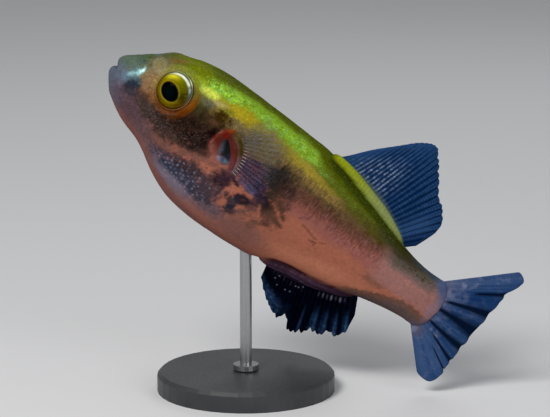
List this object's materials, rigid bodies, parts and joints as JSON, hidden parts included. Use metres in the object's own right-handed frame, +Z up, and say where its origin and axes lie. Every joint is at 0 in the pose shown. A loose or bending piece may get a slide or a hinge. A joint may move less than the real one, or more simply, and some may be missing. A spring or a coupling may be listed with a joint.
{
  "type": "freshwater pufferfish display model",
  "caption": "Life-size freshwater pufferfish, swimming nose up with its fins spread, held by a short rod on a round display base.",
  "frame": {"origin": "centre of the underside of the stand's base", "axes": "+Z up, +X from the fish's mouth towards its tail as seen from above, +Y towards the fish's right side"},
  "size_m": [0.0831, 0.036, 0.0685],
  "materials": {
    "skin": "moist, satin, green-gold back over a salmon belly",
    "lips": "moist, satin",
    "nostrils": "moist, satin",
    "eyes": "wet gloss, yellow iris and black pupil",
    "gill_flaps": "moist, satin",
    "anal_base": "moist, satin",
    "fins": "thin, ribbed, satin",
    "pectoral_fins": "thin, ribbed, satin",
    "stand_base": "matte black paint",
    "stand_rod": "brushed"
  },
  "bodies": {
    "root": {"head": "skin", "upper_lip": "lips", "lower_lip": "lips", "nostril_left": "nostrils", "nostril_right": "nostrils", "eye_left": "eyes", "eye_right": "eyes", "gill_flap_left": "gill_flaps", "gill_flap_right": "gill_flaps", "trunk": "skin", "tail_stalk": "skin", "dorsal_fin_base": "skin", "anal_fin_base": "anal_base", "dorsal_fin": "fins", "anal_fin": "fins", "caudal_fin": "fins", "pectoral_fin_left": "pectoral_fins", "pectoral_fin_right": "pectoral_fins", "stand_base": "stand_base", "stand_rod": "stand_rod"}
  },
  "joints": []
}
